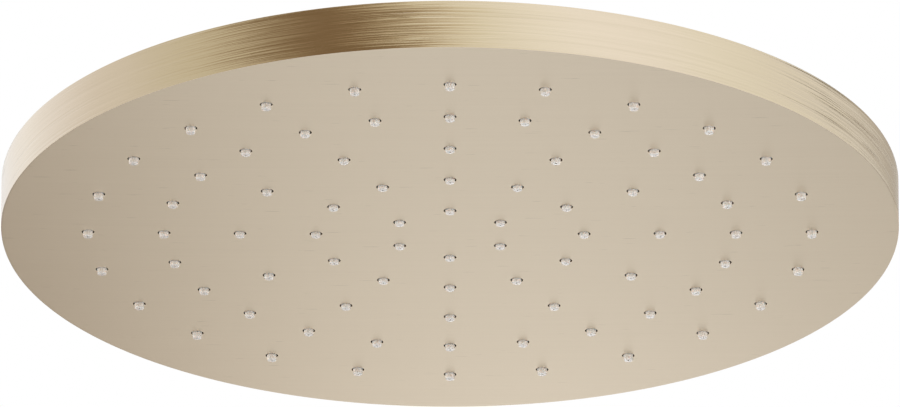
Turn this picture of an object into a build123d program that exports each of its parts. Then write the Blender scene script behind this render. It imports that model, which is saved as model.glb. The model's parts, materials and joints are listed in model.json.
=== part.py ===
"""Round rain shower head with a ball swivel: brass pan, silicone nozzle mat and G1/2 union nut.

Millimetres and degrees. The origin is the middle of the inlet's sealing seat, on the thread's
axis, with +Z up the arm. The spray face looks down.
"""

import os
from math import acos, cos, radians, sin, sqrt, tan

from build123d import *

# Face and rim
head_diameter = 250.0
rim_height = 14.0
rim_wall = 1.5
floor_thickness = 1.0
face_crown = 1.0
rim_round = 0.5
lip_round = 0.3

# Spray field
ring_nozzles = (6, 12, 12, 24, 24)
first_nozzle_angle = 90.0
first_ring_radius = 16.2
ring_to_wall = 4.2
nozzle_hole_diameter = 3.5
nozzle_clearance = 0.25
nozzle_taper = 0.4
nozzle_bore_diameter = 1.0
nozzle_drop = 1.85
mat_thickness = 1.5
mat_inset = 1.0

# Water chamber
plate_thickness = 2.5
chamber_wall = 7.0
slot_width = 5.0
slot_web = 6.0
webs_per_ring = 6
seal_width = 3.0
seal_groove_depth = 1.5
seal_clearance = 0.1
wall_gap = 0.3

# Back cover, its pillars and screws
cover_thickness = 2.0
cover_clearance = 0.2
cover_recess = 0.5
screw_count = 8
first_screw_angle = 22.5
pillar_diameter = 7.0
pillar_inset = 7.0
pillar_clearance = 1.0
screw_diameter = 3.0
screw_head_height = 1.4
screw_length = 8.0
screw_clearance = 0.1
tapped_clearance = 0.05
screw_end_gap = 0.5
hex_key = 2.0
hex_key_depth = 1.1

# Ball swivel
ball_diameter = 24.0
ball_flat = 7.8
tilt_limit = 15.0
neck_diameter = 13.0
waterway_diameter = 9.0
socket_clearance = 0.1
swing_clearance = 0.4
ring_swing_clearance = 1.0
nut_swing_clearance = 2.0
seat_angle = 24.0
seat_rim = 0.8
seat_clearance = 0.1
friction_angle = 30.0
friction_bottom = 2.0
friction_wall = 2.0

# Hub, collar and lock nut
hub_clearance = 0.4
hub_wall = 3.6
hub_floor = 2.7
hub_outlet_diameter = 12.0
hub_hole_clearance = 0.3
flange_width = 6.0
flange_thickness = 2.5
hub_seal_width = 2.5
hub_seal_inset = 1.5
hub_seal_depth = 1.2
thread_clearance = 0.1
collar_wall = 3.0
collar_lip = 1.9
collar_crown = 5.7
crown_land = 3.3
collar_gap = 0.3
lip_gap = 0.2
lock_washer_thickness = 1.0
lock_washer_width = 4.2
lock_nut_height = 3.0
lock_nut_wall = 5.0
corner_chamfer = 0.9

# Union nut, its thread seen as a plain wall at the minor diameter, and the snap ring
thread_minor_diameter = 18.631
thread_depth = 1.162
thread_length = 11.0
relief_clearance = 0.2
nut_wall = 1.82
nut_floor = 3.0
stem_clearance = 0.1
stem_shoulder = 1.5
stem_wall = 1.1
snap_ring_drop = 1.2
snap_ring_thickness = 1.1
snap_ring_width = 1.9
snap_ring_opening = 4.0
snap_groove_depth = 0.8
snap_clearance = 0.1

# Washer, filter screen and flow regulator
washer_thickness = 2.0
washer_clearance = 0.2
washer_overlap = 0.25
screen_thickness = 0.6
screen_rim = 0.7
screen_opening = 1.1
screen_pitch = 1.6
screen_clearance = 0.1
regulator_diameter = 11.0
regulator_height = 5.8
regulator_clearance = 0.1
regulator_wall = 1.2
regulator_floor = 1.2
regulator_core_diameter = 3.2
regulator_core_height = 3.0
regulator_port_diameter = 1.2
regulator_ports = 6
regulator_ring_gap = 0.6
regulator_ring_height = 1.6

# Radii, worked inwards from the rim
head_radius = head_diameter / 2
inner_radius = head_radius - rim_wall
cover_radius = inner_radius - cover_clearance
pillar_circle = inner_radius - pillar_inset
plate_radius = pillar_circle - pillar_diameter / 2 - pillar_clearance
mat_radius = plate_radius - mat_inset
chamber_radius = plate_radius - chamber_wall
seal_radius = (plate_radius + chamber_radius) / 2
last_ring_radius = chamber_radius - ring_to_wall
ring_pitch = (last_ring_radius - first_ring_radius) / (len(ring_nozzles) - 1)
rings = [(first_ring_radius + i * ring_pitch, count) for i, count in enumerate(ring_nozzles)]
hole_radius = nozzle_hole_diameter / 2
nozzle_root_radius = hole_radius - nozzle_clearance
nozzle_tip_radius = nozzle_root_radius - nozzle_taper / 2
crown_radius = (head_radius**2 + face_crown**2) / (2 * face_crown)

# Radii, worked outwards from the regulator, the thread and the ball
regulator_radius = regulator_diameter / 2
pocket_radius = regulator_radius + regulator_clearance
groove_radius = pocket_radius + stem_wall
stem_radius = groove_radius + snap_groove_depth
thread_radius = thread_minor_diameter / 2
mouth_radius = thread_radius + thread_depth
relief_radius = mouth_radius + relief_clearance
nut_flats = 2 * (relief_radius + nut_wall)
washer_bore = regulator_radius - washer_overlap
ball_radius = ball_diameter / 2
socket_radius = ball_radius + socket_clearance
neck_radius = neck_diameter / 2
hub_bore = ball_radius + hub_clearance
hub_radius = hub_bore + hub_wall
flange_radius = hub_radius + flange_width
hub_seal_outer = flange_radius - hub_seal_inset
hub_seal_inner = hub_seal_outer - hub_seal_width
screwed_bore = hub_radius + thread_clearance
collar_flats = 2 * (screwed_bore + collar_wall)
lock_flats = 2 * (screwed_bore + lock_nut_wall)

# Heights above the ball's middle that let the head swing to its limit
swing = radians(tilt_limit)
rise = radians(friction_angle)
neck_swing = neck_radius / cos(swing)
friction_reach = socket_radius / cos(rise) - neck_swing - ring_swing_clearance
friction_high = friction_reach / (tan(rise) + tan(swing))
lip_low = friction_high + lip_gap
collar_high = lip_low + collar_lip
lip_radius = neck_swing + collar_high * tan(swing) + swing_clearance
crown_top_radius = lip_radius + crown_land
collar_swing = collar_high * cos(swing) + crown_top_radius * sin(swing)
seat_depth = ball_radius * cos(acos(ball_flat / ball_radius) - swing) + swing_clearance

# Levels, from the inlet's seat down to the nozzle tips
nut_top = thread_length + thread_depth
stem_top = -washer_thickness
snap_top = stem_top - snap_ring_drop
snap_bottom = snap_top - snap_ring_thickness
nut_floor_top = snap_bottom - 2 * snap_clearance
nut_bottom = nut_floor_top - nut_floor
shoulder_z = nut_bottom - stem_shoulder
regulator_z = stem_top - regulator_height
ball_z = nut_bottom - nut_swing_clearance - collar_swing
collar_top = ball_z + collar_high
lip_z = ball_z + lip_low
friction_top = ball_z + friction_high
friction_z = ball_z + friction_bottom
seat_z = ball_z - seat_depth
hub_bottom = seat_z - hub_floor
cover_bottom = hub_bottom + flange_thickness
cover_top = cover_bottom + cover_thickness
lock_nut_z = cover_top + lock_washer_thickness
lock_nut_top = lock_nut_z + lock_nut_height
collar_bottom = lock_nut_top + collar_gap
rim_top = cover_top + cover_recess
rim_bottom = rim_top - rim_height
floor_z = rim_bottom + floor_thickness
mat_top = floor_z + mat_thickness
plate_top = mat_top + plate_thickness
wall_top = cover_bottom - wall_gap
seal_z = wall_top - seal_groove_depth
hub_seal_z = cover_bottom - hub_seal_depth
tip_z = rim_bottom - nozzle_drop
nozzle_length = floor_z - tip_z


def section(*points):
    """Closed half section through (radius, height) points, to be turned about the axis."""
    with BuildSketch(Plane.XZ) as half:
        with BuildLine():
            Polyline(*points, close=True)
        make_face()
    return half.sketch


def ring_section(inner, outer, low, high):
    """Half section of a plain ring."""
    return section((inner, low), (outer, low), (outer, high), (inner, high))


def nut_envelope(across_flats, low, high):
    """Half section that takes the corners off a hexagonal nut at both ends."""
    flat = across_flats / 2
    corner = flat / cos(radians(30))
    return section(
        (0, low),
        (flat, low),
        (corner, low + corner_chamfer),
        (corner, high - corner_chamfer),
        (flat, high),
        (0, high),
    )


def face_z(radius):
    """Height of the crowned face at a radius."""
    return rim_bottom - face_crown + crown_radius - sqrt(crown_radius**2 - radius**2)


# Face and rim in one piece, crowned outside and flat inside
with BuildPart() as face_pan:
    with BuildSketch(Plane.XZ) as pan_half:
        with BuildLine():
            middle = head_radius / 2
            ThreePointArc((0, face_z(0)), (middle, face_z(middle)), (head_radius, rim_bottom))
            Polyline(
                (head_radius, rim_bottom),
                (head_radius, rim_top),
                (inner_radius, rim_top),
                (inner_radius, floor_z),
                (0, floor_z),
                (0, face_z(0)),
            )
        make_face()
        fillet(pan_half.vertices().group_by(Axis.X)[-1].sort_by(Axis.Y)[0], radius=rim_round)
        fillet(pan_half.vertices().group_by(Axis.Y)[-1].sort_by(Axis.X)[-1], radius=lip_round)
    revolve(axis=Axis.Z)
    for ring_radius, count in rings:
        with BuildSketch(Plane.XY.offset(floor_z)):
            with PolarLocations(ring_radius, count, start_angle=first_nozzle_angle):
                Circle(hole_radius)
        extrude(amount=-(floor_thickness + 2 * face_crown), mode=Mode.SUBTRACT)

# One silicone moulding, its nozzle tips all on one level
with BuildPart() as nozzle_mat:
    with BuildSketch(Plane.XY.offset(floor_z)):
        Circle(mat_radius)
    extrude(amount=mat_thickness)
    for ring_radius, count in rings:
        with Locations((0, 0, (floor_z + tip_z) / 2)):
            with PolarLocations(ring_radius, count, start_angle=first_nozzle_angle):
                Cone(nozzle_tip_radius, nozzle_root_radius, nozzle_length)
        with BuildSketch(Plane.XY.offset(mat_top)):
            with PolarLocations(ring_radius, count, start_angle=first_nozzle_angle):
                Circle(nozzle_bore_diameter / 2)
        extrude(amount=-(mat_thickness + nozzle_length), mode=Mode.SUBTRACT)

# Moulded plate that presses the mat down, slotted over each ring of nozzles
with BuildPart() as chamber_plate:
    groove_inner = seal_radius - seal_width / 2
    groove_outer = seal_radius + seal_width / 2
    revolve(
        section(
            (0, mat_top),
            (plate_radius, mat_top),
            (plate_radius, wall_top),
            (groove_outer, wall_top),
            (groove_outer, seal_z),
            (groove_inner, seal_z),
            (groove_inner, wall_top),
            (chamber_radius, wall_top),
            (chamber_radius, plate_top),
            (0, plate_top),
        ),
        axis=Axis.Z,
    )
    for ring_radius, count in rings:
        with BuildSketch(Plane.XY.offset(mat_top)):
            Circle(ring_radius + slot_width / 2)
            Circle(ring_radius - slot_width / 2, mode=Mode.SUBTRACT)
            web_angle = first_nozzle_angle + 180 / count
            with PolarLocations(ring_radius, webs_per_ring, start_angle=web_angle):
                Rectangle(2 * slot_width, slot_web, mode=Mode.SUBTRACT)
        extrude(amount=plate_thickness, mode=Mode.SUBTRACT)

with BuildPart() as chamber_seal:
    seal_inner = groove_inner + seal_clearance
    seal_outer = groove_outer - seal_clearance
    revolve(ring_section(seal_inner, seal_outer, seal_z, cover_bottom), axis=Axis.Z)

# Eight threaded pillars between the pan's floor and the cover
with BuildPart() as cover_pillars:
    with BuildSketch(Plane.XY.offset(floor_z)):
        with PolarLocations(pillar_circle, screw_count, start_angle=first_screw_angle):
            Circle(pillar_diameter / 2)
    extrude(amount=cover_bottom - floor_z)
    with BuildSketch(Plane.XY.offset(cover_bottom)):
        with PolarLocations(pillar_circle, screw_count, start_angle=first_screw_angle):
            Circle(screw_diameter / 2 + tapped_clearance)
    extrude(amount=-(screw_length - cover_thickness + screw_end_gap), mode=Mode.SUBTRACT)

with BuildPart() as top_cover:
    revolve(
        ring_section(hub_radius + hub_hole_clearance, cover_radius, cover_bottom, cover_top),
        axis=Axis.Z,
    )
    with Locations((0, 0, cover_top)):
        with PolarLocations(pillar_circle, screw_count, start_angle=first_screw_angle):
            shank_hole = screw_diameter / 2 + screw_clearance
            CounterSinkHole(shank_hole, shank_hole + screw_head_height, counter_sink_angle=90)

# Countersunk screws with a hexagonal socket
with BuildPart() as cover_screws:
    shank_radius = screw_diameter / 2
    shank_length = screw_length - screw_head_height
    head_z = cover_top - screw_head_height
    with PolarLocations(pillar_circle, screw_count, start_angle=first_screw_angle):
        with Locations((0, 0, head_z + screw_head_height / 2)):
            Cone(shank_radius, shank_radius + screw_head_height, screw_head_height)
        with Locations((0, 0, head_z - shank_length / 2)):
            Cylinder(shank_radius, shank_length)
    with BuildSketch(Plane.XY.offset(cover_top)):
        with PolarLocations(pillar_circle, screw_count, start_angle=first_screw_angle):
            RegularPolygon(hex_key / 2, 6, major_radius=False)
    extrude(amount=-hex_key_depth, mode=Mode.SUBTRACT)

# Threaded cup that holds the ball, hung in the cover by its flange
with BuildPart() as inlet_hub:
    outlet_radius = hub_outlet_diameter / 2
    revolve(
        section(
            (outlet_radius, hub_bottom),
            (flange_radius, hub_bottom),
            (flange_radius, cover_bottom),
            (hub_seal_outer, cover_bottom),
            (hub_seal_outer, hub_seal_z),
            (hub_seal_inner, hub_seal_z),
            (hub_seal_inner, cover_bottom),
            (hub_radius, cover_bottom),
            (hub_radius, friction_z),
            (hub_bore, friction_z),
            (hub_bore, seat_z),
            (outlet_radius, seat_z),
        ),
        axis=Axis.Z,
    )

with BuildPart() as hub_seal:
    gasket_inner = hub_seal_inner + seal_clearance
    gasket_outer = hub_seal_outer - seal_clearance
    revolve(ring_section(gasket_inner, gasket_outer, hub_seal_z, cover_bottom), axis=Axis.Z)

with BuildPart() as lock_washer:
    lock_washer_outer = screwed_bore + lock_washer_width
    revolve(ring_section(screwed_bore, lock_washer_outer, cover_top, lock_nut_z), axis=Axis.Z)

with BuildPart() as hub_lock_nut:
    with BuildSketch(Plane.XY.offset(lock_nut_z)):
        RegularPolygon(lock_flats / 2, 6, major_radius=False)
        Circle(screwed_bore, mode=Mode.SUBTRACT)
    extrude(amount=lock_nut_height)
    revolve(nut_envelope(lock_flats, lock_nut_z, lock_nut_top), axis=Axis.Z, mode=Mode.INTERSECT)

# Conical seat that touches the socket's sphere below the ball's equator
with BuildPart() as ball_seat:
    lean = radians(seat_angle)
    seat_outer = hub_bore - seat_clearance
    seat_high = seat_outer - seat_rim
    seat_low = (socket_radius - seat_depth * sin(lean)) / cos(lean)
    seat_top = ball_z - (socket_radius - seat_high * cos(lean)) / sin(lean)
    revolve(
        section((seat_low, seat_z), (seat_outer, seat_z), (seat_outer, seat_top), (seat_high, seat_top)),
        axis=Axis.Z,
    )

# Conical ring that touches the socket's sphere above the ball's equator
with BuildPart() as friction_ring:
    ring_low = (socket_radius - friction_bottom * sin(rise)) / cos(rise)
    ring_high = (socket_radius - friction_high * sin(rise)) / cos(rise)
    ring_outer = ring_low + friction_wall
    revolve(
        section(
            (ring_low, friction_z),
            (ring_outer, friction_z),
            (ring_outer, friction_top),
            (ring_high, friction_top),
        ),
        axis=Axis.Z,
    )

# Hexagonal skirt under a round crown, screwed down on the hub
with BuildPart() as collar_nut:
    flat_radius = collar_flats / 2
    crown_z = collar_top - collar_crown
    with BuildSketch(Plane.XY.offset(collar_bottom)):
        RegularPolygon(flat_radius, 6, major_radius=False)
    extrude(amount=crown_z - collar_bottom)
    revolve(nut_envelope(collar_flats, collar_bottom, crown_z), axis=Axis.Z, mode=Mode.INTERSECT)
    with BuildSketch(Plane.XZ):
        with BuildLine():
            TangentArc((flat_radius, crown_z), (crown_top_radius, collar_top), tangent=(0, 1))
            Polyline(
                (crown_top_radius, collar_top), (0, collar_top), (0, crown_z), (flat_radius, crown_z)
            )
        make_face()
    revolve(axis=Axis.Z)
    ring_bore = ring_outer + lip_gap
    thread_end = friction_z + collar_gap
    revolve(
        section(
            (0, collar_bottom),
            (screwed_bore, collar_bottom),
            (screwed_bore, thread_end),
            (ring_bore, thread_end),
            (ring_bore, lip_z),
            (lip_radius, lip_z),
            (lip_radius, collar_top),
            (0, collar_top),
        ),
        axis=Axis.Z,
        mode=Mode.SUBTRACT,
    )

# Hollow stem with the ball at its foot and a pocket for the regulator at its head
with BuildPart() as ball_stem:
    waterway_radius = waterway_diameter / 2
    neck_end = ball_z + sqrt(ball_radius**2 - neck_radius**2)
    flat_z = ball_z - ball_flat
    flat_edge = sqrt(ball_radius**2 - ball_flat**2)
    with BuildSketch(Plane.XZ):
        with BuildLine():
            Polyline(
                (pocket_radius, stem_top),
                (stem_radius, stem_top),
                (stem_radius, snap_top + snap_clearance),
                (groove_radius, snap_top + snap_clearance),
                (groove_radius, snap_bottom - snap_clearance),
                (stem_radius, snap_bottom - snap_clearance),
                (stem_radius, shoulder_z),
                (neck_radius, shoulder_z),
                (neck_radius, neck_end),
            )
            ThreePointArc((neck_radius, neck_end), (ball_radius, ball_z), (flat_edge, flat_z))
            Polyline(
                (flat_edge, flat_z),
                (waterway_radius, flat_z),
                (waterway_radius, regulator_z),
                (pocket_radius, regulator_z),
                (pocket_radius, stem_top),
            )
        make_face()
    revolve(axis=Axis.Z)

with BuildPart() as union_nut:
    with BuildSketch(Plane.XY.offset(nut_bottom)):
        RegularPolygon(nut_flats / 2, 6, major_radius=False)
    extrude(amount=nut_top - nut_bottom)
    revolve(nut_envelope(nut_flats, nut_bottom, nut_top), axis=Axis.Z, mode=Mode.INTERSECT)
    stem_hole = stem_radius + stem_clearance
    revolve(
        section(
            (0, nut_bottom),
            (stem_hole, nut_bottom),
            (stem_hole, nut_floor_top),
            (relief_radius, nut_floor_top),
            (relief_radius, 0),
            (thread_radius, 0),
            (thread_radius, thread_length),
            (mouth_radius, nut_top),
            (0, nut_top),
        ),
        axis=Axis.Z,
        mode=Mode.SUBTRACT,
    )

# Open ring in the stem's groove, over the nut's floor
with BuildPart() as nut_snap_ring:
    snap_inner = groove_radius + snap_clearance
    snap_outer = snap_inner + snap_ring_width
    with BuildSketch(Plane.XY.offset(snap_bottom)):
        Circle(snap_outer)
        Circle(snap_inner, mode=Mode.SUBTRACT)
        with Locations((0, (snap_inner + snap_outer) / 2)):
            Rectangle(snap_ring_opening, 2 * snap_ring_width, mode=Mode.SUBTRACT)
    extrude(amount=snap_ring_thickness)

with BuildPart() as inlet_washer:
    washer_radius = thread_radius - washer_clearance
    revolve(ring_section(washer_bore, washer_radius, stem_top, 0), axis=Axis.Z)

# Strainer disc with a square grid of openings inside its rim
with BuildPart() as filter_screen:
    screen_radius = washer_bore - screen_clearance
    grid_reach = screen_radius - screen_rim - screen_opening / sqrt(2)
    grid_rows = 2 * int(grid_reach / screen_pitch) + 1
    grid = GridLocations(screen_pitch, screen_pitch, grid_rows, grid_rows)
    inside = [place for place in grid if place.position.length <= grid_reach]
    with BuildSketch(Plane.XY.offset(stem_top)):
        Circle(screen_radius)
        with Locations(*inside):
            Rectangle(screen_opening, screen_opening, mode=Mode.SUBTRACT)
    extrude(amount=screen_thickness)

# Regulator housing: a cup with a core and a ring of ports in its floor
with BuildPart() as regulator_body:
    cup_radius = regulator_radius - regulator_wall
    core_radius = regulator_core_diameter / 2
    cup_floor = regulator_z + regulator_floor
    revolve(
        section(
            (0, regulator_z),
            (regulator_radius, regulator_z),
            (regulator_radius, stem_top),
            (cup_radius, stem_top),
            (cup_radius, cup_floor),
            (core_radius, cup_floor),
            (core_radius, cup_floor + regulator_core_height),
            (0, cup_floor + regulator_core_height),
        ),
        axis=Axis.Z,
    )
    with BuildSketch(Plane.XY.offset(regulator_z)):
        with PolarLocations((core_radius + cup_radius) / 2, regulator_ports):
            Circle(regulator_port_diameter / 2)
    extrude(amount=regulator_floor, mode=Mode.SUBTRACT)

with BuildPart() as regulator_ring:
    elastic_inner = core_radius + regulator_ring_gap
    elastic_outer = cup_radius - regulator_ring_gap
    elastic_top = cup_floor + regulator_ring_height
    revolve(ring_section(elastic_inner, elastic_outer, cup_floor, elastic_top), axis=Axis.Z)

pieces = {
    "face_pan": face_pan,
    "nozzle_mat": nozzle_mat,
    "chamber_plate": chamber_plate,
    "chamber_seal": chamber_seal,
    "cover_pillars": cover_pillars,
    "top_cover": top_cover,
    "cover_screws": cover_screws,
    "inlet_hub": inlet_hub,
    "hub_seal": hub_seal,
    "lock_washer": lock_washer,
    "hub_lock_nut": hub_lock_nut,
    "ball_seat": ball_seat,
    "friction_ring": friction_ring,
    "collar_nut": collar_nut,
    "ball_stem": ball_stem,
    "union_nut": union_nut,
    "nut_snap_ring": nut_snap_ring,
    "inlet_washer": inlet_washer,
    "filter_screen": filter_screen,
    "regulator_body": regulator_body,
    "regulator_ring": regulator_ring,
}
os.makedirs("parts", exist_ok=True)
for name, piece in pieces.items():
    piece.part.label = name
    export_step(piece.part, f"parts/{name}.step")
print("ball centre", round(ball_z, 4), "rim", round(rim_bottom, 4), "to", round(rim_top, 4))
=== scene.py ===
# %% [markdown]
# # A brushed rain shower head
# The construction model gives every piece its place and size. This lesson dresses it: the pieces
# that can be seen are modelled again with round edges and fine curves, and every piece gets a
# finish made of shader nodes. The frame comes first, because places and main sizes are read from
# it.

# %% Load the frame
import json
import math

import bpy
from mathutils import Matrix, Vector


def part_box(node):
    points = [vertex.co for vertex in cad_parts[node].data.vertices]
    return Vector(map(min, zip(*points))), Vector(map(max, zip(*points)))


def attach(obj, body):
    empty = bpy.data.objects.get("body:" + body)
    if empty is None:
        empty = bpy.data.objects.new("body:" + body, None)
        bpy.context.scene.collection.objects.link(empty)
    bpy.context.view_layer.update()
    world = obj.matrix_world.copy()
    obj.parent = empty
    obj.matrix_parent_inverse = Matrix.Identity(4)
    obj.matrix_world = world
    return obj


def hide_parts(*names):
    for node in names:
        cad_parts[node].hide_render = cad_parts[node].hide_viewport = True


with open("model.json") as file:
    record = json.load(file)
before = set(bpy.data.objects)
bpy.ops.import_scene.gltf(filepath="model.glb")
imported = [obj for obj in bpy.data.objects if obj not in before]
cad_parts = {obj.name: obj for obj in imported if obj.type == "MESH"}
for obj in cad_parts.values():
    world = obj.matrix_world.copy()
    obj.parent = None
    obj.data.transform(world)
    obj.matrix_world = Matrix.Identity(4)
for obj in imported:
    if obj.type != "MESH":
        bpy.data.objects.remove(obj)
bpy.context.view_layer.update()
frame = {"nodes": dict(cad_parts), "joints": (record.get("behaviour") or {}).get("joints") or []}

# %% [markdown]
# ## The camera
# The head is looked at from below and from far away, through a long lens, so the circle of the rim
# is almost a true ellipse. The camera is aimed at the middle of the rim's lower edge and then
# raised by a few millimetres, which centres the head in the picture. It is set before the pieces,
# because it says which details will be seen.

# %% Camera
MM = 0.001
pan_low, pan_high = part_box("face_pan")
head_radius = round(pan_high.x, 4)
face_crown = 1.0 * MM
rim_top = pan_high.z
rim_bottom = pan_low.z + face_crown

view_rise = math.radians(23.68)
view_distance = 5.194
view_lift = 7.66 * MM
bpy.ops.object.camera_add(
    location=(
        0,
        -view_distance * math.cos(view_rise) - view_lift * math.sin(view_rise),
        rim_bottom - view_distance * math.sin(view_rise) + view_lift * math.cos(view_rise),
    ),
    rotation=(math.radians(90) + view_rise, 0, 0),
)
camera = bpy.context.object
camera.data.sensor_width = 36
camera.data.lens = 746
camera.data.clip_end = 100
bpy.context.scene.camera = camera
print("camera at", [round(value, 3) for value in camera.location])

# %% [markdown]
# ## Turning, cutting and copying
# Nearly every piece of a shower head comes off a lathe. An outline is drawn point by point with
# the extrude operator, from a small plane that is first merged to one point. It is then spun about
# the axis, which gives clean rings of faces. A Boolean modifier cuts holes and hexagons, and a
# Bevel modifier breaks sharp edges, because no machined edge is perfectly sharp and the thin bright
# line along it is what makes metal look solid.


# %% Helpers for turned pieces
WELD = 0.001 * MM


def only(piece):
    """Leaves one piece selected and active."""
    bpy.ops.object.select_all(action="DESELECT")
    piece.select_set(True)
    bpy.context.view_layer.objects.active = piece


def drawn(name, outline):
    """Draws an outline of (radius, height) points as a line, and stays in edit mode."""
    bpy.ops.object.select_all(action="DESELECT")
    bpy.ops.mesh.primitive_plane_add(size=MM)
    piece = bpy.context.object
    piece.name = piece.data.name = name
    bpy.ops.object.mode_set(mode="EDIT")
    bpy.ops.mesh.merge(type="CENTER")
    bpy.ops.transform.translate(value=(outline[0][0], 0, outline[0][1]))
    for (radius, height), (next_radius, next_height) in zip(outline, outline[1:]):
        step = (next_radius - radius, 0, next_height - height)
        bpy.ops.mesh.extrude_vertices_move(TRANSFORM_OT_translate={"value": step})
    bpy.ops.mesh.select_all(action="SELECT")
    return piece


def turned(name, outline, steps):
    """Draws an outline and spins it about the axis."""
    piece = drawn(name, outline)
    bpy.ops.mesh.spin(steps=steps, angle=math.tau, center=(0, 0, 0), axis=(0, 0, 1))
    bpy.ops.mesh.select_all(action="SELECT")
    bpy.ops.mesh.remove_doubles(threshold=WELD)
    bpy.ops.mesh.normals_make_consistent(inside=False)
    bpy.ops.object.mode_set(mode="OBJECT")
    return piece


def ring(name, inner, outer, low, high, edge, steps):
    """A turned ring with its four edges broken."""
    outline = [
        (inner, low + edge),
        (inner + edge, low),
        (outer - edge, low),
        (outer, low + edge),
        (outer, high - edge),
        (outer - edge, high),
        (inner + edge, high),
        (inner, high - edge),
    ]
    return turned(name, outline + outline[:1], steps)


def arc(middle, radius, start, end, steps):
    """Points of an arc in the outline's plane, angles in degrees."""
    points = []
    for step in range(steps + 1):
        angle = math.radians(start + (end - start) * step / steps)
        points.append((middle[0] + radius * math.cos(angle), middle[1] + radius * math.sin(angle)))
    return points


# %% Helpers for cutting, copying and dressing
SHARP_ANGLE = math.radians(35)
SMOOTH_ANGLE = math.radians(32)


def combine(piece, tool, operation):
    """Cuts a tool from a piece, keeps what both share or joins them, and takes the tool away."""
    only(piece)
    bpy.ops.object.modifier_add(type="BOOLEAN")
    step = piece.modifiers[-1]
    step.operation = operation
    step.solver = "EXACT"
    step.object = tool
    bpy.ops.object.modifier_apply(modifier=step.name)
    only(tool)
    bpy.ops.object.delete()


def soften(piece, width, segments=2):
    """Rounds the sharp edges."""
    only(piece)
    bpy.ops.object.modifier_add(type="BEVEL")
    step = piece.modifiers[-1]
    step.limit_method = "ANGLE"
    step.angle_limit = SHARP_ANGLE
    step.width = width
    step.segments = segments
    step.harden_normals = False
    bpy.ops.object.modifier_apply(modifier=step.name)


def copies(piece, places, turns=None):
    """Copies a piece to many places, each copy with its own mesh, and joins them."""
    made = []
    for index, place in enumerate(places):
        only(piece)
        bpy.ops.object.duplicate_move(TRANSFORM_OT_translate={"value": place})
        copy = bpy.context.object
        if turns:
            bpy.ops.transform.rotate(value=turns[index], orient_axis="Z", center_override=place)
        made.append(copy)
    only(piece)
    bpy.ops.object.delete()
    for copy in made:
        copy.select_set(True)
    bpy.context.view_layer.objects.active = made[0]
    bpy.ops.object.join()
    bpy.ops.object.transform_apply(location=True, rotation=True, scale=True)
    return bpy.context.object


def dress(piece, node, body):
    """Shades the finished piece smooth and puts it in its node's place."""
    only(piece)
    bpy.ops.object.shade_smooth_by_angle(angle=SMOOTH_ANGLE)
    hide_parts(node)
    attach(piece, body)
    print(piece.name, len(piece.data.vertices), "points", len(piece.data.polygons), "faces")


# %% [markdown]
# ## The pan: face and rim in one piece
# Face and rim meet without a seam, so the pan is one pressing. Its face is very slightly crowned,
# its lower edge has a small round, and its floor is flat inside. A plain cylinder would miss the
# crown, and with it the way light rolls over the face. The outline is therefore drawn with many
# points along the crown and spun in fine steps.

# %% Pan outline and spin
rim_wall = 1.5 * MM
floor_thickness = 1.0 * MM
rim_round = 0.1 * MM
lip_round = 0.15 * MM
lip_break = 0.2 * MM
edge_guard = 2 * MM
crown_points = 24
inner_radius = head_radius - rim_wall
floor_z = rim_bottom + floor_thickness
crown_radius = (head_radius**2 + face_crown**2) / (2 * face_crown)


def face_z(radius):
    """Height of the crowned face at a radius."""
    return rim_bottom - face_crown + crown_radius - math.sqrt(crown_radius**2 - radius**2)


round_start = head_radius - rim_round
crown_end = round_start - 0.6 * MM
crown_radii = [head_radius * step / crown_points for step in range(crown_points)]
pan_outline = [(radius, face_z(radius)) for radius in crown_radii + [crown_end]]
pan_outline += arc((round_start, face_z(round_start) + rim_round), rim_round, -90, 0, steps=6)
pan_outline += [(head_radius, rim_bottom + edge_guard), (head_radius, rim_top - edge_guard)]
pan_outline += arc((head_radius - lip_round, rim_top - lip_round), lip_round, 0, 90, steps=4)
pan_outline += [(inner_radius + lip_break, rim_top), (inner_radius, rim_top - lip_break)]
pan_outline += [(inner_radius, floor_z), (0, floor_z)]
pan = turned("brushed_pan", pan_outline, steps=360)
print("pan", round(2000 * head_radius), "mm across, crown", round(face_crown / MM, 2), "mm")

# %% [markdown]
# ## The spray field
# Seventy-eight holes lie on five rings. Each hole's edge is broken by a hair, and that catches a
# pale line of light. One cutter is turned, copied to all places at the height of the crowned face,
# and cut out in one Boolean step.

# %% Hole places and cutting
ring_nozzles = (6, 12, 12, 24, 24)
first_ring_radius = 16.2 * MM
last_ring_radius = 100.8 * MM
hole_radius = 1.75 * MM
hole_edge = 0.06 * MM
cut_height = 3 * MM
cone_drop = 3 * hole_edge
last_ring = len(ring_nozzles) - 1

nozzle_places = []
for index, count in enumerate(ring_nozzles):
    ring_radius = first_ring_radius + (last_ring_radius - first_ring_radius) * index / last_ring
    for number in range(count):
        angle = math.radians(90) + math.tau * number / count
        nozzle_places.append((ring_radius * math.cos(angle), ring_radius * math.sin(angle)))

hole_outline = [(0, cut_height), (hole_radius, cut_height), (hole_radius, hole_edge)]
hole_outline += [(hole_radius + hole_edge + cone_drop, -cone_drop), (0, -cone_drop)]
hole_cutter = turned("hole_cutter", hole_outline, steps=32)
hole_places = [(x, y, face_z(math.hypot(x, y))) for x, y in nozzle_places]
combine(pan, copies(hole_cutter, hole_places), "DIFFERENCE")
dress(pan, "face_pan", "shower_head")
print("holes", len(hole_places))

# %% [markdown]
# ## The silicone mat
# Behind the pan lies one soft moulding whose nozzles stand through the holes, all with their tips
# on one level. A nozzle is a short cone with a rounded tip and a fine bore that narrows to its
# mouth. Cone and bore are turned once and copied, so that all are alike as from one mould.

# %% Nozzle mat
mat_low, mat_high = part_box("nozzle_mat")
root_places = [(x, y, floor_z) for x, y in nozzle_places]
tip_drop = mat_low.z - floor_z
nozzle_root = 1.5 * MM
nozzle_tip = 1.3 * MM
tip_round = 0.28 * MM
root_overlap = 0.4 * MM

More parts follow.
